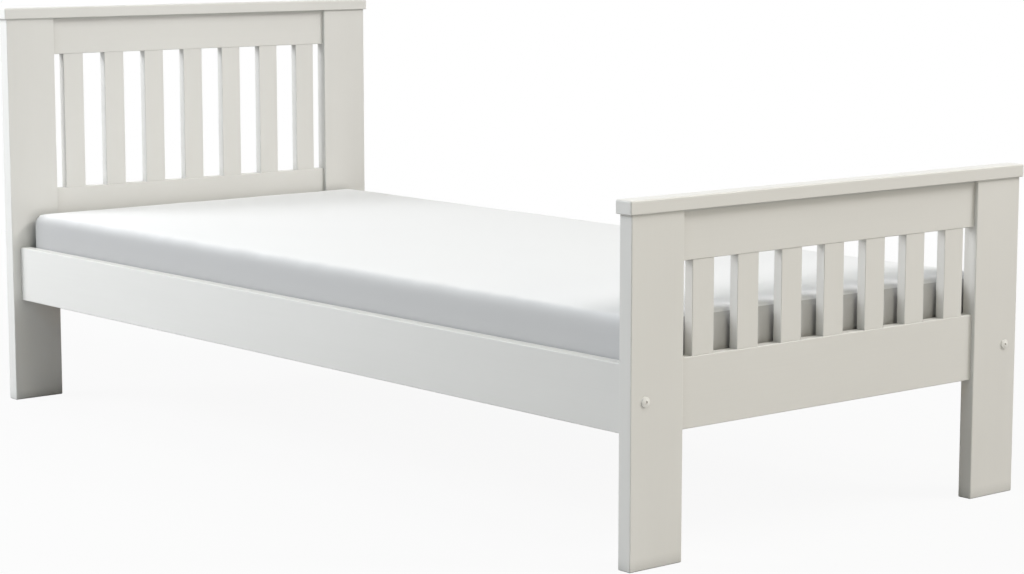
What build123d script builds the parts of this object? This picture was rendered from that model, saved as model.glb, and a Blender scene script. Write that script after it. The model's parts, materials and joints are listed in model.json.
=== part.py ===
from build123d import *
import math
import os

# A single bed: a slatted headboard and footboard, two side rails, a slatted base and a mattress.
# Millimetres. X runs from left to right, Y from the foot to the head, Z up from the floor.
# The origin is on the floor, midway between the sides and midway between the ends.

# Whole bed
bed_width = 992.0  # over the legs' outer edges
bed_length = 2090.0  # from the footboard's outer face to the headboard's back
headboard_height = 862.0  # floor to the underside of the cap
footboard_height = 604.0  # floor to the underside of the cap
underbed_height = 228.0  # floor to the underside of the side rails and of the footboard's bottom rail

# Legs, flat upright boards
leg_width = 120.0
leg_thickness = 30.0
leg_edge_radius = 2.0
leg_foot_chamfer = 1.5

# Caps along the top of both boards
cap_thickness = 24.0
cap_face_overhang = 4.5  # past the legs' faces
cap_end_overhang = 6.0  # past the legs' outer edges
cap_top_radius = 3.0
cap_corner_radius = 2.5
cap_bottom_chamfer = 1.0

# Cross rails between the legs of a board, flush with the legs' back and set back at the front
cross_rail_thickness = 22.0
cross_rail_edge_radius = 1.5
headboard_top_rail_height = 82.0
footboard_top_rail_height = 87.0
bottom_rail_height = 124.0
headboard_bottom_rail_top = 475.0  # above the floor

# Upright slats of both boards, held by a stub tenon at each end
board_slat_count = 7
board_slat_width = 51.0
board_slat_thickness = 19.0
board_slat_setback = 1.0  # from the cross rails' front
board_slat_edge_chamfer = 0.8
slat_tenon_length = 12.0
slat_tenon_thickness = 8.0
slat_tenon_shoulder = 5.0  # from the slat's edge to the tenon's

# Tenons of the cross rails in the legs, and of the legs in the caps
rail_tenon_length = 25.0
rail_tenon_thickness = 10.0
rail_tenon_shoulder = 12.0  # from the rail's edge to the tenon's
cap_tenon_length = 12.0
cap_tenon_width = 60.0
cap_tenon_thickness = 10.0
tenon_clearance = 0.2  # all round, in every mortise
mortise_spare = 1.0  # air at every mortise's bottom

# Side rails
side_rail_height = 120.0
side_rail_thickness = 24.0
side_rail_inset = 21.0  # from the legs' outer edges
side_rail_edge_radius = 2.0

# Ledger strips inside the side rails, flush with their lower edge
ledger_width = 25.0
ledger_height = 24.0
ledger_end_gap = 12.0  # to the legs
ledger_edge_chamfer = 1.0

# Slats across the ledgers
bed_slat_count = 14
bed_slat_width = 70.0
bed_slat_thickness = 18.0
bed_slat_edge_chamfer = 1.5
bed_slat_side_gap = 3.0  # to each side rail
bed_slat_first_gap = 20.0  # from the legs to the first and the last slat

# Mattress
mattress_thickness = 158.0  # in the middle, crown included
mattress_side_gap = 2.0  # to each side rail
mattress_end_gap = 6.5  # to the legs, so that it passes the caps when it is lifted out
mattress_seat_gap = 0.3  # above the slats
mattress_top_radius = 26.0
mattress_bottom_radius = 15.0
mattress_corner_radius = 14.0
mattress_side_swell = 2.0  # how far the middle of a side stands out
mattress_crown = 6.0  # how far the middle of the top stands up
mattress_edge_steps = 4
crown_shares = (0.2, 0.45, 0.7)  # of the way from the top edge to the middle
corner_growth_share = 0.2  # of the inset, added to the corners' radius

# Bolts and barrel nuts that hold the side rails to the legs
bolt_diameter = 6.0
bolt_length = 70.0  # under the head
bolt_clearance = 0.5  # all round, in the wood
bolt_head_diameter = 18.0
bolt_head_height = 3.6
bolt_head_rim = 1.8
bolt_socket_width = 4.0  # across the flats
bolt_socket_depth = 3.0
nut_diameter = 10.0
nut_length = 14.0
nut_setback = 34.0  # from the side rail's end to the nut's axis
nut_clearance = 0.2  # all round, in the wood
nut_thread_clearance = 0.1
nut_slot_width = 1.2
nut_slot_depth = 1.2

# Dowels above and below each bolt, which keep the side rails from turning
dowel_diameter = 8.0
dowel_length = 30.0
dowel_leg_depth = 12.0
dowel_spacing = 68.0
dowel_clearance = 0.1  # all round

# Air past the end of a dowel or a bolt in its hole
hole_spare = 1.0

# Places worked out from the sizes above
between_legs = bed_width - 2 * leg_width
leg_x = (bed_width - leg_width) / 2
inner_length = bed_length - 2 * leg_thickness
cross_rail_recess = leg_thickness - cross_rail_thickness
board_slat_pitch = between_legs / board_slat_count
slat_tenon_width = board_slat_width - 2 * slat_tenon_shoulder
side_rail_x = bed_width / 2 - side_rail_inset - side_rail_thickness / 2
inner_width = 2 * side_rail_x - side_rail_thickness
bolt_z = underbed_height + side_rail_height / 2
dowel_heights = (bolt_z - dowel_spacing / 2, bolt_z + dowel_spacing / 2)
ledger_x = (inner_width - ledger_width) / 2
ledger_top = underbed_height + ledger_height
bed_slat_length = inner_width - 2 * bed_slat_side_gap
bed_slat_pitch = (inner_length - 2 * bed_slat_first_gap - bed_slat_width) / (bed_slat_count - 1)
bed_slat_top = ledger_top + bed_slat_thickness
dowel_hole_radius = dowel_diameter / 2 + dowel_clearance
bolt_hole_radius = bolt_diameter / 2 + bolt_clearance
nut_hole_radius = nut_diameter / 2 + nut_clearance
sides = {"left": -1, "right": 1}
ends = (-1, 1)  # the foot and the head


def save(piece, name):
    """Labels a finished piece and writes it under its own name."""
    piece.part.label = name
    export_step(piece.part, f"parts/{name}.step")


def facing(points, normal):
    """A plane at each point, with the given normal."""
    return [Plane(point, z_dir=normal) for point in points]


def leg_y(end):
    """The middle of a board's legs."""
    return end * (bed_length - leg_thickness) / 2


def cross_rail_y(end):
    """The middle of a board's cross rails, whose backs are flush with the legs' backs."""
    return leg_y(end) + cross_rail_recess / 2


def board_slat_y(end):
    """The middle of a board's slats, which are set back a little from the cross rails' front."""
    return cross_rail_y(end) - (cross_rail_thickness - board_slat_thickness) / 2 + board_slat_setback


def mortise(width, height):
    """The outline of a mortise for a tenon of the given size."""
    Rectangle(width + 2 * tenon_clearance, height + 2 * tenon_clearance)


def make_leg(side, end, height, rails):
    """One leg with a tenon for the cap, a mortise for each cross rail and the holes for a side rail."""
    outer_face = leg_y(end) + end * leg_thickness / 2
    inner_face = leg_y(end) - end * leg_thickness / 2
    with BuildPart() as leg:
        with BuildSketch(Plane((side * leg_x, leg_y(end), 0))) as profile:
            Rectangle(leg_width, leg_thickness)
            fillet(profile.vertices(), leg_edge_radius)
        extrude(amount=height)
        chamfer(leg.faces().sort_by(Axis.Z)[0].edges(), leg_foot_chamfer)
        with BuildSketch(Plane((side * leg_x, leg_y(end), height))):
            Rectangle(cap_tenon_width, cap_tenon_thickness)
        extrude(amount=cap_tenon_length)
        for low, high in rails:
            opening = (side * between_legs / 2, cross_rail_y(end), (low + high) / 2)
            with BuildSketch(Plane(opening, (0, 1, 0), (side, 0, 0))):
                mortise(rail_tenon_thickness, high - low - 2 * rail_tenon_shoulder)
            extrude(amount=rail_tenon_length + mortise_spare, mode=Mode.SUBTRACT)
        with Locations(*facing([(side * side_rail_x, outer_face, bolt_z)], (0, end, 0))):
            Hole(bolt_hole_radius, leg_thickness)
        with Locations(*facing([(side * side_rail_x, inner_face, z) for z in dowel_heights], (0, -end, 0))):
            Hole(dowel_hole_radius, dowel_leg_depth + hole_spare)
    return leg


def make_cap(end, height):
    """The rounded strip along the top of a board, with a mortise over each leg."""
    with BuildPart() as cap:
        with BuildSketch(Plane((0, leg_y(end), height))) as outline:
            Rectangle(bed_width + 2 * cap_end_overhang, leg_thickness + 2 * cap_face_overhang)
            fillet(outline.vertices(), cap_corner_radius)
        extrude(amount=cap_thickness)
        fillet(cap.faces().sort_by(Axis.Z)[-1].edges(), cap_top_radius)
        chamfer(cap.faces().sort_by(Axis.Z)[0].edges(), cap_bottom_chamfer)
        with BuildSketch(Plane((0, leg_y(end), height))):
            with GridLocations(2 * leg_x, 0, 2, 1):
                mortise(cap_tenon_width, cap_tenon_thickness)
        extrude(amount=cap_tenon_length + mortise_spare, mode=Mode.SUBTRACT)
    return cap


def make_cross_rail(end, low, high, slat_side):
    """One rail with a tenon at each end. Its slats' mortises open at its top (slat_side 1) or below (-1)."""
    middle = (low + high) / 2
    shoulder = (-between_legs / 2, cross_rail_y(end), middle)
    tenon_tip = (-between_legs / 2 - rail_tenon_length, cross_rail_y(end), middle)
    opening = (0, board_slat_y(end), high if slat_side == 1 else low)
    with BuildPart() as rail:
        with BuildSketch(Plane(shoulder, (0, 1, 0), (1, 0, 0))) as profile:
            Rectangle(cross_rail_thickness, high - low)
            fillet(profile.vertices(), cross_rail_edge_radius)
        extrude(amount=between_legs)
        with BuildSketch(Plane(tenon_tip, (0, 1, 0), (1, 0, 0))):
            Rectangle(rail_tenon_thickness, high - low - 2 * rail_tenon_shoulder)
        extrude(amount=between_legs + 2 * rail_tenon_length)
        with BuildSketch(Plane(opening)):
            with GridLocations(board_slat_pitch, 0, board_slat_count, 1):
                mortise(slat_tenon_width, slat_tenon_thickness)
        extrude(amount=-slat_side * (slat_tenon_length + mortise_spare), mode=Mode.SUBTRACT)
    return rail


def make_board_slat(x, end, low, high):
    """One upright slat with a shouldered stub tenon at each end."""
    with BuildPart() as slat:
        with BuildSketch(Plane((x, board_slat_y(end), low))) as profile:
            Rectangle(board_slat_width, board_slat_thickness)
            chamfer(profile.vertices(), board_slat_edge_chamfer)
        extrude(amount=high - low)
        with BuildSketch(Plane((x, board_slat_y(end), low - slat_tenon_length))):
            Rectangle(slat_tenon_width, slat_tenon_thickness)
        extrude(amount=high - low + 2 * slat_tenon_length)
    return slat


def make_side_rail(side):
    """One side rail with the holes for its bolts, barrel nuts and dowels."""
    x = side * side_rail_x
    inner_face = side * inner_width / 2
    with BuildPart() as rail:
        with BuildSketch(Plane((x, -inner_length / 2, bolt_z), (1, 0, 0), (0, 1, 0))) as profile:
            Rectangle(side_rail_thickness, side_rail_height)
            fillet(profile.vertices(), side_rail_edge_radius)
        extrude(amount=inner_length)
        for end in ends:
            rail_end = end * inner_length / 2
            with Locations(*facing([(x, rail_end, bolt_z)], (0, end, 0))):
                Hole(bolt_hole_radius, bolt_length - leg_thickness + hole_spare)
            with Locations(*facing([(x, rail_end, z) for z in dowel_heights], (0, end, 0))):
                Hole(dowel_hole_radius, dowel_length - dowel_leg_depth + hole_spare)
            with Locations(*facing([(inner_face, rail_end - end * nut_setback, bolt_z)], (-side, 0, 0))):
                Hole(nut_hole_radius, (side_rail_thickness + nut_length) / 2 + nut_clearance)
    return rail


def make_ledger(side):
    """The strip that carries the slats' ends along one side rail."""
    start = (side * ledger_x, ledger_end_gap - inner_length / 2, ledger_top - ledger_height / 2)
    with BuildPart() as ledger:
        with BuildSketch(Plane(start, (1, 0, 0), (0, 1, 0))) as profile:
            Rectangle(ledger_width, ledger_height)
            chamfer(profile.vertices(), ledger_edge_chamfer)
        extrude(amount=inner_length - 2 * ledger_end_gap)
    return ledger


def make_bed_slat(y):
    """One slat across the ledgers."""
    start = (-bed_slat_length / 2, y, bed_slat_top - bed_slat_thickness / 2)
    with BuildPart() as slat:
        with BuildSketch(Plane(start, (0, 1, 0), (1, 0, 0))) as profile:
            Rectangle(bed_slat_width, bed_slat_thickness)
            chamfer(profile.vertices(), bed_slat_edge_chamfer)
        extrude(amount=bed_slat_length)
    return slat


def rounded_edge(radius, height):
    """(height, inset) of the steps round a quarter of an edge, from its flat face to its side."""
    steps = []
    for step in range(mattress_edge_steps + 1):
        angle = math.radians(90) * step / mattress_edge_steps
        inset = mattress_side_swell + radius * (1 - math.sin(angle))
        steps.append((height(radius * (1 - math.cos(angle))), inset))
    return steps


def crown_rise(share):
    """How high the top stands above its edge, from nothing at the edge to the crown at the last share."""
    return mattress_crown * math.sin(math.radians(90) * share / crown_shares[-1])


def mattress_levels():
    """(height, inset) of each level section of the mattress, from its underside to its crown."""
    bottom = bed_slat_top + mattress_seat_gap
    shoulder = bottom + mattress_thickness - mattress_crown
    levels = rounded_edge(mattress_bottom_radius, lambda rise: bottom + rise)
    levels.append(((bottom + shoulder) / 2, 0))
    levels += reversed(rounded_edge(mattress_top_radius, lambda drop: shoulder - drop))
    edge_inset = mattress_side_swell + mattress_top_radius
    to_middle = inner_width / 2 - mattress_side_gap - edge_inset
    levels += [(shoulder + crown_rise(share), edge_inset + share * to_middle) for share in crown_shares]
    return levels


os.makedirs("parts", exist_ok=True)

# Headboard and footboard: the end, the height, the top rail's height and the bottom rail's top
boards = {
    "headboard": (1, headboard_height, headboard_top_rail_height, headboard_bottom_rail_top),
    "footboard": (-1, footboard_height, footboard_top_rail_height, underbed_height + bottom_rail_height),
}
for board, (end, height, top_rail_height, bottom_rail_top) in boards.items():
    top_rail_low = height - top_rail_height
    bottom_rail_low = bottom_rail_top - bottom_rail_height
    rails = ((top_rail_low, height), (bottom_rail_low, bottom_rail_top))
    for side_name, side in sides.items():
        save(make_leg(side, end, height, rails), f"{board}_leg_{side_name}")
    save(make_cap(end, height), f"{board}_cap")
    save(make_cross_rail(end, top_rail_low, height, -1), f"{board}_top_rail")
    save(make_cross_rail(end, bottom_rail_low, bottom_rail_top, 1), f"{board}_bottom_rail")
    for index in range(board_slat_count):
        slat_x = (index - (board_slat_count - 1) / 2) * board_slat_pitch
        save(make_board_slat(slat_x, end, bottom_rail_top, top_rail_low), f"{board}_slat_{index + 1}")

# Side rails, ledgers and the base of slats
for side_name, side in sides.items():
    save(make_side_rail(side), f"side_rail_{side_name}")
    save(make_ledger(side), f"slat_ledger_{side_name}")
for index in range(bed_slat_count):
    slat_y = (index - (bed_slat_count - 1) / 2) * bed_slat_pitch
    save(make_bed_slat(slat_y), f"bed_slat_{index + 1:02d}")

# Dowels between the side rails and the legs
dowel_y = inner_length / 2 + dowel_leg_depth - dowel_length / 2
dowel_points = [
    (side * side_rail_x, end * dowel_y, z)
    for side in sides.values()
    for end in ends
    for z in dowel_heights
]
with BuildPart() as side_rail_dowels:
    with Locations(*facing(dowel_points, (0, 1, 0))):
        Cylinder(dowel_diameter / 2, dowel_length)
save(side_rail_dowels, "side_rail_dowels")

# Bolts: one is turned about its own axis at the footboard's right leg, and the others mirror it
bolt_seat = (side_rail_x, -bed_length / 2, bolt_z)
with BuildPart() as connector_bolts:
    with BuildSketch(Plane(bolt_seat, (1, 0, 0), (0, 0, 1))):
        with BuildLine():
            Polyline(
                (0, -bolt_head_height),
                (0, bolt_length),
                (bolt_diameter / 2, bolt_length),
                (bolt_diameter / 2, 0),
                (bolt_head_diameter / 2, 0),
                (bolt_head_diameter / 2, -bolt_head_rim),
            )
            TangentArc((0, -bolt_head_height), (bolt_head_diameter / 2, -bolt_head_rim), tangent=(1, 0))
        make_face()
    revolve(axis=Axis(bolt_seat, (0, 1, 0)))
    with BuildSketch(Plane(bolt_seat, z_dir=(0, -1, 0)).offset(bolt_head_height)):
        RegularPolygon(bolt_socket_width / 2, side_count=6, major_radius=False)
    extrude(amount=-bolt_socket_depth, mode=Mode.SUBTRACT)
    mirror(about=Plane.YZ)
    mirror(about=Plane.XZ)
save(connector_bolts, "connector_bolts")

# Barrel nuts across the side rails, with a slot in the end that shows
nut_middle = (side_rail_x, nut_setback - inner_length / 2, bolt_z)
with BuildPart() as barrel_nuts:
    with Locations(Plane(nut_middle, z_dir=(1, 0, 0))):
        Cylinder(nut_diameter / 2, nut_length)
    with Locations(Plane(nut_middle, z_dir=(0, -1, 0)).offset(nut_diameter / 2)):
        Hole(bolt_diameter / 2 + nut_thread_clearance, nut_diameter)
    with BuildSketch(Plane(nut_middle, (0, 1, 0), (-1, 0, 0)).offset(nut_length / 2)):
        Rectangle(nut_diameter, nut_slot_width)
    extrude(amount=-nut_slot_depth, mode=Mode.SUBTRACT)
    mirror(about=Plane.YZ)
    mirror(about=Plane.XZ)
save(barrel_nuts, "barrel_nuts")

# Mattress: level rounded sections from the flat underside, up the full sides and in over the crowned top
with BuildPart() as mattress:
    for level, inset in mattress_levels():
        with BuildSketch(Plane.XY.offset(level)) as section:
            Rectangle(
                inner_width - 2 * (mattress_side_gap + inset),
                inner_length - 2 * (mattress_end_gap + inset),
            )
            fillet(section.vertices(), mattress_corner_radius + corner_growth_share * inset)
    loft(ruled=True)
save(mattress, "mattress")
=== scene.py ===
import json
import math

import bmesh
import bpy
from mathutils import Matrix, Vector, noise


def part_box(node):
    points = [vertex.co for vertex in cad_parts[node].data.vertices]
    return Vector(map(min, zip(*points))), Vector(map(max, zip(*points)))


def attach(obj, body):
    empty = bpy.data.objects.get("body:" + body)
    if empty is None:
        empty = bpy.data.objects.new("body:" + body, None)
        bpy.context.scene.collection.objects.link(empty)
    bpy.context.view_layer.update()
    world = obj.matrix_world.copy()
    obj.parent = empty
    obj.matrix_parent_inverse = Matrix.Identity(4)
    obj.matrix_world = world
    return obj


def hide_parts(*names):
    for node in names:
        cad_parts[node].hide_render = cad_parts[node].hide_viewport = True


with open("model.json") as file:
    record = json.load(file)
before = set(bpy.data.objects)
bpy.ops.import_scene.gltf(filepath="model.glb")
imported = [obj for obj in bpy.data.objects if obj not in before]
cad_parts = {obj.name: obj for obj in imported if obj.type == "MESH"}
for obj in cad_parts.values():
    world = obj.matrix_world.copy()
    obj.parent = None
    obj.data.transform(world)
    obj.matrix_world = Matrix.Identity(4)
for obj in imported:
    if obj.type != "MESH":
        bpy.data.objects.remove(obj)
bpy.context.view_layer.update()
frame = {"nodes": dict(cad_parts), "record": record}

# Places read from the frame, in metres
mattress_low, mattress_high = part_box("mattress")
ledger_low, ledger_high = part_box("slat_ledger_right")

# Camera, fitted to the photograph's edges
camera_place = (-3.3788, -4.1739, 1.0921)
camera_elevation = 8.13
camera_azimuth = -40.0
camera_lens = 91.54
camera_sensor = 36.0

# Light: (name, place, aim, width, height, power, colour)
lamps = (
    ("window_light", (-5.0, 4.4, 5.6), (0.0, 0.2, 0.5), 3.4, 3.4, 300.0, (0.975, 0.98, 1.0)),
    ("far_left_light", (-7.0, -2.4, 6.0), (0.0, 0.0, 0.4), 3.4, 3.0, 103.0, (0.77, 0.90, 1.0)),
    ("near_left_light", (-2.6, 1.6, 1.6), (0.0, 0.6, 0.5), 1.4, 1.2, 36.0, (0.95, 0.975, 1.0)),
    ("low_front_light", (-0.6, -4.6, 1.8), (0.0, 0.0, 0.5), 2.6, 1.4, 29.0, (1.0, 0.94, 0.755)),
    ("right_light", (5.0, -5.2, 6.0), (0.0, 0.0, 0.5), 3.6, 3.0, 446.0, (1.0, 0.971, 0.952)),
    ("overhead_light", (0.0, -2.2, 7.0), (0.0, 0.0, 0.4), 4.0, 4.0, 134.0, (1.0, 1.0, 0.92)),
)

# Every material: scales are repeats per metre, across the grain and along it where there are two
noise_range = (0.3, 0.7)  # where most of a noise's values lie
board_shift = 41.0
edge_softness = 0.0012

# Paint
paint_light = (0.81, 0.802, 0.775, 1.0)
paint_dark = (0.79, 0.782, 0.755, 1.0)
paint_roughness = 0.40
paint_roughness_range = (0.36, 0.44)
paint_specular = 0.3
paint_grain_scales = (260.0, 5.0)
paint_grain_roughness = 0.6
paint_grain_distortion = 0.4
paint_grain_share = 0.4
paint_grain_depth = 0.0001
paint_grain_strength = 0.10
paint_cloud_scales = (9.0, 2.5)
paint_tone_range = (0.5, 0.9)
roller_scales = (900.0, 900.0)
roller_depth = 0.00004
roller_strength = 0.25
# Painted shade in the crevices: how far it reaches, and how deep it is on the boards and on the side
# rails
painted_shade_reach = 0.024
board_painted_shade = 0.38
rail_painted_shade = 0.05

# Bare wood
pine_pale = (0.74, 0.58, 0.38, 1.0)
pine_deep = (0.62, 0.43, 0.24, 1.0)
pine_ring_width = 0.012
beech_pale = (0.68, 0.52, 0.36, 1.0)
beech_deep = (0.58, 0.42, 0.28, 1.0)
beech_ring_width = 0.005
wood_roughness = 0.55
ring_stretch = 1.2
ring_scale = 0.35
ring_distortion = 5.0
ring_detail_scale = 0.6
ring_range = (0.2, 0.9)
fibre_scales = (900.0, 22.0)
fibre_roughness = 0.65
fibre_range = (0.45, 0.8)
fibre_share = 0.5
fibre_darkness = 0.86
fibre_depth = 0.0002
fibre_strength = 0.5

# Metal: (colour, roughness, metallic, share of the colour in its speckles)
enamel = ((0.88, 0.87, 0.84, 1.0), 0.32, 0.0, 0.97)
zinc = ((0.62, 0.62, 0.60, 1.0), 0.34, 1.0, 0.85)
# A dark painted shade for the hollows of the screws' sunken crosses, with a metal's roughness and
# speckles
painted_recess_shade = ((0.16, 0.16, 0.155, 1.0), 0.5, 1.0, 0.7)
speckle_scale = 700.0
speckle_roughness = 0.06
speckle_depth = 0.00005
speckle_strength = 0.4

# Mattress cover
top_white = (0.858, 0.865, 0.871, 1.0)
# The border's grey is painted darker at the head than at the foot: a painted shade that evens out the
# brighter light near the head
border_head_painted_shade = (0.46, 0.46, 0.46, 1.0)
border_foot = (0.61, 0.61, 0.61, 1.0)
cover_roughness = 0.85
cover_sheen = 0.12
cover_sheen_roughness = 0.6
# The grey border is the cover's own colour; the soft fade into it over the top edge is painted shade of
# the rounded edge
shade_fade_depth = 0.022  # below the top edge
shade_fade_power = 2.2
fade_wander = 0.0012
wander_scale = 14.0
end_line = 0.0075  # below the top edge
end_line_width = 0.0006
end_zone = 0.010  # from the ends
end_zone_fade = 0.004
cloud_scale = 5.0
cloud_share = 0.015
cloud_grey = (0.5, 0.5, 0.52, 1.0)
knit_scale = 620.0
knit_depth = 0.0004
knit_strength = 0.35
quilt_scale = 26.0
quilt_depth = 0.002
quilt_strength = 0.08
cord_light = (0.62, 0.62, 0.615, 1.0)
cord_dark = (0.46, 0.46, 0.46, 1.0)
cord_roughness = 0.8
cord_scale = 900.0
cord_depth = 0.0003
cord_strength = 0.6

# Mattress shape
top_radius = 0.021
bottom_radius = 0.012
corner_radius = 0.008
crown = 0.006
side_stretch = 0.0006  # past its place, which the even grid takes back
edge_segments = 6
voxel = 0.010
stuffing_pressure = 4.0
stuffing_frames = 20
puff_reach = 0.0022
side_swell = 0.0012
top_swell = 0.001
crown_reach_share = 0.7
crown_height_share = 0.8
wave_scale = 9.0
wave_height = 0.0012
wave_reach = 0.09  # in from the rim
seam_height = 0.020
seam_radius = 0.0011
seam_step = 0.012
seam_core = 0.05  # in from the rim
seam_search = 0.2

# Screws that hold the bed slats to the ledgers and the ledgers to the side rails
ledger_screws = 5
slat_screw_radius = 0.0037
slat_screw_rise = 0.0002
ledger_screw_radius = 0.0042
ledger_screw_rise = 0.0020
screw_sides = 24
screw_profile_shares = ((1.0, -0.3), (1.0, 0.25), (0.86, 0.8), (0.7, 1.0))  # of the radius and the rise
cross_arm_share = 0.5
cross_width_share = 0.11
cross_floor_share = 0.8
cross_floor_rise_share = 0.15

# Floor
floor_grey = (0.56, 0.56, 0.56, 1.0)
floor_roughness = 0.9
floor_size = 60.0
floor_drop = 0.0002
floor_white_near = (1.6, 0.93)  # distance from the middle, and how white the camera sees the floor there
floor_white_far = (4.0, 1.0)
white = (1.0, 1.0, 1.0, 1.0)


def add(tree, kind, settings=None, **inputs):
    """A shader node with its settings, and a value or another node's output on each named input."""
    node = tree.nodes.new(kind)
    for name, value in (settings or {}).items():
        setattr(node, name, value)
    for name, value in inputs.items():
        socket = node.inputs[int(name[1:])] if name[1:].isdigit() else node.inputs[name.replace("_", " ")]
        if isinstance(value, bpy.types.NodeSocket):
            tree.links.new(value, socket)
        else:
            socket.default_value = value
    return node


def maths(tree, operation, *values):
    """The result of one sum on values and other nodes' outputs."""
    inputs = {f"i{index}": value for index, value in enumerate(values)}
    return add(tree, "ShaderNodeMath", {"operation": operation}, **inputs).outputs[0]


def new_material(name, roughness):
    """An empty principled material: its tree and its shader."""
    material = bpy.data.materials.new(name)
    material.use_nodes = True
    shader = material.node_tree.nodes["Principled BSDF"]
    shader.inputs["Roughness"].default_value = roughness
    return material, material.node_tree, shader


def board_place(tree, axis, scales):
    """The place on a board, stretched along one axis and shifted by a random amount for each board."""
    place = add(tree, "ShaderNodeTexCoord").outputs["Object"]
    board = add(tree, "ShaderNodeObjectInfo").outputs["Random"]
    shift = maths(tree, "MULTIPLY", board, board_shift)
    moved = add(tree, "ShaderNodeVectorMath", {"operation": "ADD"}, i0=place, i1=shift).outputs[0]
    across, along = scales
    scale = [across] * 3
    scale[axis] = along
    return add(tree, "ShaderNodeMapping", Vector=moved, Scale=scale).outputs[0]


def texture(tree, place, scale, detail=3.0, roughness=0.5, distortion=0.0):
    """Smooth noise from 0 to 1."""
    return add(
        tree, "ShaderNodeTexNoise", Vector=place, Scale=scale, Detail=detail,
        Roughness=roughness, Distortion=distortion,
    ).outputs["Fac"]


def remap(tree, value, low, high, new_low, new_high):
    """The value, moved from one range to another."""
    return add(tree, "ShaderNodeMapRange", i0=value, i1=low, i2=high, i3=new_low, i4=new_high).outputs[0]


def mix(tree, share, first, second):
    """A colour between two colours."""
    return add(tree, "ShaderNodeMix", {"data_type": "RGBA"}, i0=share, i6=first, i7=second).outputs[2]


def bump(tree, height, distance, strength=1.0, normal=None):
    """The normal bent by a height map, on top of another normal."""
    node = add(tree, "ShaderNodeBump", Height=height, Distance=distance, Strength=strength)
    if normal is not None:
        tree.links.new(normal, node.inputs["Normal"])
    return node.outputs[0]


def painted_crevice_shade(tree, colour, reach, shade_depth):
    """Painted shade: the colour deepened where another surface comes near, where shade falls."""
    clear = add(tree, "ShaderNodeAmbientOcclusion", {"samples": 4}, Distance=reach).outputs["AO"]
    level = remap(tree, clear, 0.0, 1.0, 1.0 - shade_depth, 1.0)
    return add(tree, "ShaderNodeVectorMath", {"operation": "SCALE"}, i0=colour, i3=level).outputs[0]


def soft_edges(tree):
    """The normal with every sharp edge slightly eased."""
    return add(tree, "ShaderNodeBevel", {"samples": 4}, Radius=edge_softness).outputs[0]


def paint_material(name, axis, shade_depth):
    """Satin off-white paint on boards whose grain runs along one axis, with painted shade deepening it in
    the crevices.
    """
    material, tree, shader = new_material(name, paint_roughness)
    shader.inputs["Specular IOR Level"].default_value = paint_specular
    place = board_place(tree, axis, paint_grain_scales)
    grain = texture(tree, place, 1.0, 4.0, paint_grain_roughness, paint_grain_distortion)
    cloud = texture(tree, board_place(tree, axis, paint_cloud_scales), 1.0, 2.0)
    roller = texture(tree, board_place(tree, axis, roller_scales), 1.0, 1.0)
    tone = maths(tree, "MULTIPLY_ADD", grain, paint_grain_share, cloud)
    colour = mix(tree, remap(tree, tone, *paint_tone_range, 0.0, 1.0), paint_light, paint_dark)
    # The base colour carries painted shade in the crevices
    tree.links.new(painted_crevice_shade(tree, colour, painted_shade_reach, shade_depth), shader.inputs["Base Color"])
    tree.links.new(remap(tree, cloud, *noise_range, *paint_roughness_range), shader.inputs["Roughness"])
    ridges = bump(tree, grain, paint_grain_depth, paint_grain_strength, soft_edges(tree))
    tree.links.new(bump(tree, roller, roller_depth, roller_strength, ridges), shader.inputs["Normal"])
    return material


def bare_wood_material(name, axis, pale, deep, ring_width):
    """Planed bare wood with growth rings along one axis."""
    material, tree, shader = new_material(name, wood_roughness)
    place = board_place(tree, axis, (1.0 / ring_width, ring_stretch))
    rings = add(
        tree, "ShaderNodeTexWave", {"wave_type": "RINGS"}, Vector=place, Scale=ring_scale,
        Distortion=ring_distortion, Detail=2.0, Detail_Scale=ring_detail_scale,
    )
    fibres = texture(tree, board_place(tree, axis, fibre_scales), 1.0, 4.0, fibre_roughness)
    early = mix(tree, remap(tree, rings.outputs["Fac"], *ring_range, 0.0, 1.0), pale, deep)
    darker = tuple(fibre_darkness * part for part in deep[:3]) + (1.0,)
    share = remap(tree, fibres, *fibre_range, 0.0, fibre_share)
    tree.links.new(mix(tree, share, early, darker), shader.inputs["Base Color"])
    ridges = bump(tree, fibres, fibre_depth, fibre_strength, soft_edges(tree))
    tree.links.new(ridges, shader.inputs["Normal"])
    return material


def metal_material(name, colour, roughness, metallic, speckle):
    """Plated or enamelled steel with fine unevenness."""
    material, tree, shader = new_material(name, roughness)
    shader.inputs["Metallic"].default_value = metallic
    place = add(tree, "ShaderNodeTexCoord").outputs["Object"]
    cloud = texture(tree, place, speckle_scale, 3.0)
    darker = tuple(speckle * part for part in colour[:3]) + (1.0,)
    spread = (roughness - speckle_roughness, roughness + speckle_roughness)
    tree.links.new(mix(tree, cloud, colour, darker), shader.inputs["Base Color"])
    tree.links.new(remap(tree, cloud, *noise_range, *spread), shader.inputs["Roughness"])
    tree.links.new(bump(tree, cloud, speckle_depth, speckle_strength), shader.inputs["Normal"])
    return material


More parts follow.
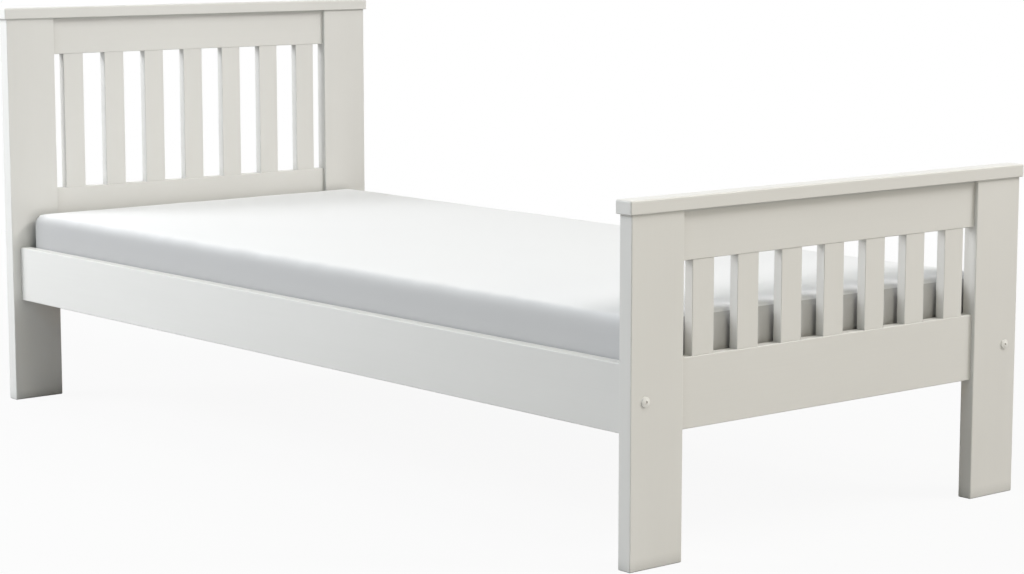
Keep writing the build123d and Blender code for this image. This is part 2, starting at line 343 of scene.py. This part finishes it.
def cover_material():
    """Knitted cover: a white top and a light grey border, with a clean line at the ends. The white fades
    into the grey over the rounded top edge as painted shade of that edge, and the border is painted
    darker towards the head.
    """
    material, tree, shader = new_material("mattress_cover", cover_roughness)
    shader.inputs["Sheen Weight"].default_value = cover_sheen
    shader.inputs["Sheen Roughness"].default_value = cover_sheen_roughness
    place = add(tree, "ShaderNodeTexCoord").outputs["Object"]
    height = add(tree, "ShaderNodeSeparateXYZ", Vector=place).outputs["Z"]
    wander = texture(tree, place, wander_scale, 2.0)
    wobble = remap(tree, wander, *noise_range, -fade_wander, fade_wander)
    level = maths(tree, "ADD", height, wobble)
    # Painted shade: the white top fades into the border's grey over the rounded top edge
    edge = mattress_high.z - crown
    shade_fade = remap(tree, level, edge - shade_fade_depth, edge, 0.0, 1.0)
    shade_fade = maths(tree, "POWER", shade_fade, shade_fade_power)
    line = remap(tree, height, edge - end_line - end_line_width, edge - end_line, 0.0, 1.0)
    length = add(tree, "ShaderNodeSeparateXYZ", Vector=place).outputs["Y"]
    reach = maths(tree, "ABSOLUTE", length)
    zone = mattress_high.y - end_zone
    at_end = remap(tree, reach, zone - end_zone_fade, zone, 0.0, 1.0)
    share = add(tree, "ShaderNodeMix", {"data_type": "FLOAT"}, i0=at_end, i2=shade_fade, i3=line).outputs[0]
    # Painted shade: the border darkens from the foot towards the head
    along = remap(tree, length, mattress_low.y, mattress_high.y, 0.0, 1.0)
    cover = mix(tree, share, mix(tree, along, border_foot, border_head_painted_shade), top_white)
    cloud = texture(tree, place, cloud_scale, 2.0)
    shaded = mix(tree, remap(tree, cloud, *noise_range, 0.0, cloud_share), cover, cloud_grey)
    tree.links.new(shaded, shader.inputs["Base Color"])
    knit = add(tree, "ShaderNodeTexVoronoi", {"feature": "SMOOTH_F1"}, Vector=place, Scale=knit_scale)
    quilt = texture(tree, place, quilt_scale, 2.0)
    padded = bump(tree, quilt, quilt_depth, quilt_strength)
    stitched = bump(tree, knit.outputs["Distance"], knit_depth, knit_strength, padded)
    tree.links.new(stitched, shader.inputs["Normal"])
    return material


def new_object(name, data):
    """An object of the scene that shows the data."""
    made = bpy.data.objects.new(name, data)
    bpy.context.scene.collection.objects.link(made)
    return made


def mesh_object(name, mesh):
    """An object of the scene made from a finished bmesh, which is freed."""
    data = bpy.data.meshes.new(name)
    mesh.to_mesh(data)
    mesh.free()
    return new_object(name, data)


def mattress_block():
    """A closed block with rounded upright corners, top edge and bottom edge, as wide as its place."""
    low = mattress_low - Vector((side_stretch, side_stretch, 0.0))
    high = mattress_high + Vector((side_stretch, side_stretch, -crown))
    mesh = bmesh.new()
    bmesh.ops.create_cube(mesh, size=1.0)
    for vertex in mesh.verts:
        vertex.co = [low[i] if vertex.co[i] < 0 else high[i] for i in range(3)]
    upright = [e for e in mesh.edges if abs(e.verts[0].co.z - e.verts[1].co.z) > crown]
    bend = {"segments": edge_segments, "profile": 0.5, "affect": "EDGES"}
    bmesh.ops.bevel(mesh, geom=upright, offset=corner_radius, **bend)
    for level, radius in ((high.z, top_radius), (low.z, bottom_radius)):
        rim = [
            e for e in mesh.edges
            if all(abs(v.co.z - level) < 1e-6 for v in e.verts)
            and any(abs(f.normal.z) < 0.5 for f in e.link_faces)
        ]
        bmesh.ops.bevel(mesh, geom=rim, offset=radius, **bend)
    return mesh


def stuff(piece, pressure, frames, reach):
    """Blows the cover up by a cloth simulation and keeps every point within reach of where it began."""
    start = [vertex.co.copy() for vertex in piece.data.vertices]
    cloth = piece.modifiers.new("stuffing", "CLOTH")
    cloth.settings.use_pressure = True
    cloth.settings.uniform_pressure_force = pressure
    cloth.settings.effector_weights.gravity = 0.0
    for number in range(1, frames + 1):
        bpy.context.scene.frame_set(number)
    shape = piece.evaluated_get(bpy.context.evaluated_depsgraph_get())
    moved = [vertex.co.copy() for vertex in shape.data.vertices]
    piece.modifiers.remove(cloth)
    bpy.context.scene.frame_set(1)
    for vertex, begin, end in zip(piece.data.vertices, start, moved):
        step = end - begin
        vertex.co = begin + step * min(1.0, reach / max(step.length, 1e-9))


def settle(piece):
    """Gives the top its crown and soft waves, and keeps every point within the mattress's place."""
    half = (mattress_high - mattress_low) / 2
    for vertex in piece.data.vertices:
        spot = vertex.co
        rim = min(half.x - abs(spot.x), half.y - abs(spot.y))
        share = min(1.0, max(0.0, rim / (crown_reach_share * half.x)))
        lift = (spot.z - mattress_low.z) / (2 * half.z)
        wave = wave_height * noise.noise(spot * wave_scale) * max(0.0, 1.0 - rim / wave_reach)
        rise = crown * math.sin(share * math.pi / 2) * crown_height_share
        spot.z += max(0.0, lift) ** 2 * (rise + wave)
        spot.z = min(max(spot.z, mattress_low.z), mattress_high.z + top_swell)
        spot.x = min(max(spot.x, mattress_low.x - side_swell), mattress_high.x + side_swell)
        spot.y = min(max(spot.y, mattress_low.y - side_swell), mattress_high.y + side_swell)


def make_mattress():
    """The mattress: a stuffed cover on the slats, between the side rails."""
    pad = mesh_object("mattress_pad", mattress_block())
    remesh = pad.modifiers.new("even_grid", "REMESH")
    remesh.mode = "VOXEL"
    remesh.voxel_size = voxel
    even = bpy.data.meshes.new_from_object(pad.evaluated_get(bpy.context.evaluated_depsgraph_get()))
    pad.modifiers.clear()
    pad.data = even
    stuff(pad, pressure=stuffing_pressure, frames=stuffing_frames, reach=puff_reach)
    settle(pad)
    for face in pad.data.polygons:
        face.use_smooth = True
    smooth = pad.modifiers.new("smooth", "SUBSURF")
    smooth.levels = 1
    smooth.render_levels = 1
    pad.data.materials.append(cover_material())
    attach(pad, "mattress")
    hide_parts("mattress")
    make_seam(pad)


def make_seam(pad):
    """A corded seam that follows the cover round the mattress, a little above its underside."""
    middle = (mattress_low + mattress_high) / 2
    half = (mattress_high - mattress_low) / 2
    height = mattress_low.z + seam_height
    rim = []
    for start, stop in (((-1, -1), (1, -1)), ((1, -1), (1, 1)), ((1, 1), (-1, 1)), ((-1, 1), (-1, -1))):
        first = Vector((start[0] * half.x, start[1] * half.y, 0.0))
        last = Vector((stop[0] * half.x, stop[1] * half.y, 0.0))
        steps = round((last - first).length / seam_step)
        rim += [first.lerp(last, step / steps) for step in range(steps)]
    curve = bpy.data.curves.new("mattress_seam", "CURVE")
    curve.dimensions = "3D"
    curve.bevel_depth = seam_radius
    curve.bevel_resolution = 2
    points = []
    inner = (half.x - seam_core, half.y - seam_core)
    for spot in rim:
        core = Vector([max(min(spot[i], inner[i]), -inner[i]) for i in range(2)] + [0.0])
        away = (spot - core).normalized()
        begin = middle + core + away * seam_search
        begin.z = height
        found, place, _, _ = pad.ray_cast(begin, -away)
        if found:
            points.append(place)
    line = curve.splines.new("POLY")
    line.points.add(len(points) - 1)
    for point, place in zip(line.points, points):
        point.co = (*place, 1.0)
    line.use_cyclic_u = True
    seam = new_object("mattress_seam", curve)
    curve.materials.append(cord_material())
    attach(seam, "mattress")


def cord_material():
    """Twisted cotton cord in the mattress's seam."""
    material, tree, shader = new_material("seam_cord", cord_roughness)
    place = add(tree, "ShaderNodeTexCoord").outputs["Object"]
    twist = texture(tree, place, cord_scale, 2.0)
    tree.links.new(mix(tree, twist, cord_light, cord_dark), shader.inputs["Base Color"])
    tree.links.new(bump(tree, twist, cord_depth, cord_strength), shader.inputs["Normal"])
    return material


def screw_head(mesh, place, out, radius, rise):
    """One round screw head with a sunken cross, from its middle on the wood and the way it faces; the
    cross's hollow faces take a dark painted shade.
    """
    along = out.orthogonal().normalized()
    across = out.cross(along)
    rings = []
    for share, height in screw_profile_shares:
        ring = []
        for step in range(screw_sides):
            turn = math.tau * step / screw_sides
            arm = along * math.cos(turn) + across * math.sin(turn)
            ring.append(mesh.verts.new(place + arm * radius * share + out * rise * height))
        rings.append(ring)
    for low, high in zip(rings, rings[1:]):
        for step in range(screw_sides):
            mesh.faces.new((low[step - 1], low[step], high[step], high[step - 1]))
    corners = []
    for quarter in range(4):
        turn = math.tau * quarter / 4
        arm = along * math.cos(turn) + across * math.sin(turn)
        tip = arm * cross_arm_share
        side = out.cross(arm) * cross_width_share
        corners += [tip - side, tip + side, arm * cross_width_share + side]
    top, floor = [], []
    for corner in corners:
        top.append(mesh.verts.new(place + corner * radius + out * rise))
        low = corner * radius * cross_floor_share + out * rise * cross_floor_rise_share
        floor.append(mesh.verts.new(place + low))
    rim = [mesh.edges.get((rings[-1][step - 1], rings[-1][step])) for step in range(screw_sides)]
    inner = [mesh.edges.new((top[step - 1], top[step])) for step in range(len(corners))]
    bmesh.ops.triangle_fill(mesh, edges=rim + inner, use_beauty=True, normal=out)
    # The hollow's faces take the second material, the dark painted shade
    walls = [
        mesh.faces.new((top[step - 1], top[step], floor[step], floor[step - 1]))
        for step in range(len(corners))
    ]
    walls.append(mesh.faces.new(floor))
    for wall in walls:
        wall.material_index = 1


def screw_set(name, spots, radius, rise):
    """All the screws of one kind as one piece that rides on the frame."""
    mesh = bmesh.new()
    for place, out in spots:
        screw_head(mesh, place, out, radius, rise)
    bmesh.ops.recalc_face_normals(mesh, faces=mesh.faces)
    piece = mesh_object(name, mesh)
    piece.data.materials.append(bpy.data.materials["zinc_plate"])
    # The second material is the dark painted shade in the sunken crosses
    piece.data.materials.append(metal_material(name + "_recess", *painted_recess_shade))
    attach(piece, "bed_frame")


def make_screws():
    """The screws down through the bed slats' ends, and those through the ledgers into the side rails."""
    ledger_middle = (ledger_low + ledger_high) / 2
    up = Vector((0.0, 0.0, 1.0))
    spots = []
    for name in frame["nodes"]:
        if name.startswith("bed_slat_"):
            low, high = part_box(name)
            for side in (-1, 1):
                spots.append((Vector((side * ledger_middle.x, (low.y + high.y) / 2, high.z)), up))
    screw_set("slat_screws", spots, slat_screw_radius, slat_screw_rise)
    spots = []
    for step in range(ledger_screws):
        y = ledger_low.y + (ledger_high.y - ledger_low.y) * (step + 0.5) / ledger_screws
        for side in (-1, 1):
            spots.append((Vector((side * ledger_low.x, y, ledger_middle.z)), Vector((-side, 0.0, 0.0))))
    screw_set("ledger_screws", spots, ledger_screw_radius, ledger_screw_rise)


def dress_frame():
    """Gives every node of the bed frame its material, with the grain along its longest side."""
    # How deep the painted crevice shade is on boards whose grain runs along x, y and z
    painted_shade_depths = {"x": board_painted_shade, "y": rail_painted_shade, "z": board_painted_shade}
    paints = [
        paint_material(f"paint_grain_{letter}", axis, shade_depth)
        for axis, (letter, shade_depth) in enumerate(painted_shade_depths.items())
    ]
    others = {
        "pine": bare_wood_material("pine", 0, pine_pale, pine_deep, pine_ring_width),
        "beech": bare_wood_material("beech", 1, beech_pale, beech_deep, beech_ring_width),
        "cream_enamel": metal_material("cream_enamel", *enamel),
        "zinc_plate": metal_material("zinc_plate", *zinc),
    }
    slots = {node["node"]: node["material_slot"] for node in frame["record"]["subparts"]}
    for name, piece in frame["nodes"].items():
        low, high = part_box(name)
        size = high - low
        longest = max(range(3), key=lambda i: size[i])
        material = paints[longest] if slots[name] == "painted_wood" else others.get(slots[name])
        if material is not None:
            piece.data.materials.clear()
            piece.data.materials.append(material)


def make_stage():
    """A pale floor that the camera sees as white with the object's soft shadow."""
    mesh = bmesh.new()
    bmesh.ops.create_grid(mesh, x_segments=1, y_segments=1, size=floor_size)
    floor = mesh_object("floor", mesh)
    floor.location.z = -floor_drop
    material, tree, shader = new_material("floor", floor_roughness)
    shader.inputs["Base Color"].default_value = floor_grey
    shader.inputs["Specular IOR Level"].default_value = 0.0
    place = add(tree, "ShaderNodeTexCoord").outputs["Object"]
    distance = add(tree, "ShaderNodeVectorMath", {"operation": "LENGTH"}, i0=place).outputs["Value"]
    (near, near_share), (far, far_share) = floor_white_near, floor_white_far
    share = remap(tree, distance, near, far, near_share, far_share)
    path = add(tree, "ShaderNodeLightPath")
    seen = maths(tree, "MULTIPLY", path.outputs["Is Camera Ray"], share)
    glow = add(tree, "ShaderNodeEmission", Color=white, Strength=1.0).outputs[0]
    blend = add(tree, "ShaderNodeMixShader", i0=seen, i1=shader.outputs[0], i2=glow).outputs[0]
    tree.links.new(blend, tree.nodes["Material Output"].inputs["Surface"])
    floor.data.materials.append(material)


def make_world():
    """A soft even sky that the camera and reflections see as white."""
    world = bpy.data.worlds.new("studio")
    bpy.context.scene.world = world
    world.use_nodes = True
    tree = world.node_tree
    sky = tree.nodes["Background"]
    sky.inputs["Strength"].default_value = 0.0
    backdrop = add(tree, "ShaderNodeBackground", Color=white, Strength=1.0).outputs[0]
    path = add(tree, "ShaderNodeLightPath")
    seen = path.outputs["Is Camera Ray"]
    for kind in ("Is Glossy Ray", "Is Transmission Ray"):
        seen = maths(tree, "MAXIMUM", seen, path.outputs[kind])
    blend = add(tree, "ShaderNodeMixShader", i0=seen, i1=sky.outputs[0], i2=backdrop).outputs[0]
    tree.links.new(blend, tree.nodes["World Output"].inputs["Surface"])


def make_lamps():
    """Large soft lamps."""
    for name, place, aim, width, height, power, colour in lamps:
        data = bpy.data.lights.new(name, "AREA")
        data.shape = "RECTANGLE"
        data.size = width
        data.size_y = height
        data.energy = power
        data.color = colour
        lamp = new_object(name, data)
        lamp.location = place
        lamp.visible_camera = False
        lamp.rotation_euler = (Vector(aim) - Vector(place)).to_track_quat("-Z", "Y").to_euler()


def make_camera():
    """The photograph's camera."""
    data = bpy.data.cameras.new("camera")
    data.lens = camera_lens
    data.sensor_width = camera_sensor
    camera = new_object("camera", data)
    camera.location = camera_place
    camera.rotation_euler = (math.radians(90.0 - camera_elevation), 0.0, math.radians(camera_azimuth))
    bpy.context.scene.camera = camera


make_camera()
make_world()
make_lamps()
make_stage()
dress_frame()
make_screws()
make_mattress()
bpy.context.scene.view_settings.view_transform = "Standard"
